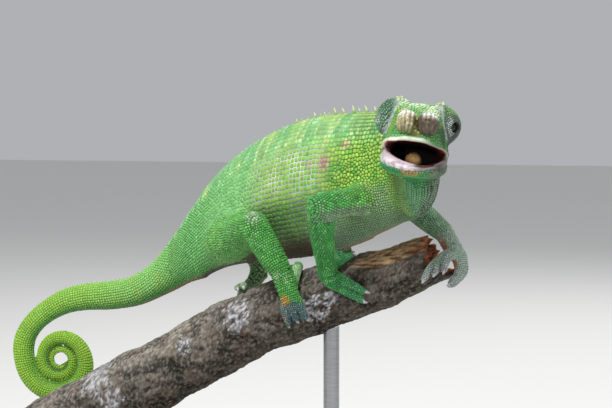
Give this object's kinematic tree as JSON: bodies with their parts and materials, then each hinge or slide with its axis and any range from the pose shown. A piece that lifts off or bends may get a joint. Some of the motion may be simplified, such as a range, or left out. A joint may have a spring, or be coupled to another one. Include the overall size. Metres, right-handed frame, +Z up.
{
  "type": "fischer's chameleon",
  "caption": "Life-size still model of a green horned chameleon gripping a cut length of branch, mouth open and tail coiled, on a display stand.",
  "frame": {"origin": "middle of the underside of the stand's base", "axes": "+X along the branch from its low end to its high end, towards the animal's front; +Y towards the animal's left; +Z up"},
  "size_m": [0.1709, 0.0904, 0.1394],
  "materials": {
    "scaly_skin": "scaly, satin",
    "horn_scales": "coarse scales, satin",
    "mouth_flesh": "moist, glossy",
    "eye": "polished",
    "claw": "satin horn",
    "bark": "rough bark with torn wood at one end",
    "stand_base": "dark, satin varnish",
    "stand_rod": "brushed"
  },
  "bodies": {
    "root": {"head": "scaly_skin", "jaw": "scaly_skin", "neck": "scaly_skin", "torso": "scaly_skin", "tail_1": "scaly_skin", "tail_2": "scaly_skin", "tail_3": "scaly_skin", "tail_4": "scaly_skin", "tail_5": "scaly_skin", "tail_6": "scaly_skin", "tail_7": "scaly_skin", "eye_turret_left": "scaly_skin", "upper_arm_left": "scaly_skin", "forearm_left": "scaly_skin", "hand_left": "scaly_skin", "thigh_left": "scaly_skin", "shank_left": "scaly_skin", "foot_left": "scaly_skin", "eye_turret_right": "scaly_skin", "upper_arm_right": "scaly_skin", "forearm_right": "scaly_skin", "hand_right": "scaly_skin", "thigh_right": "scaly_skin", "shank_right": "scaly_skin", "foot_right": "scaly_skin", "tongue": "mouth_flesh", "horn_left": "horn_scales", "eyeball_left": "eye", "horn_right": "horn_scales", "eyeball_right": "eye", "perch": "bark", "stand_base": "stand_base", "stand_rod_1": "stand_rod", "stand_rod_2": "stand_rod"}
  },
  "joints": []
}
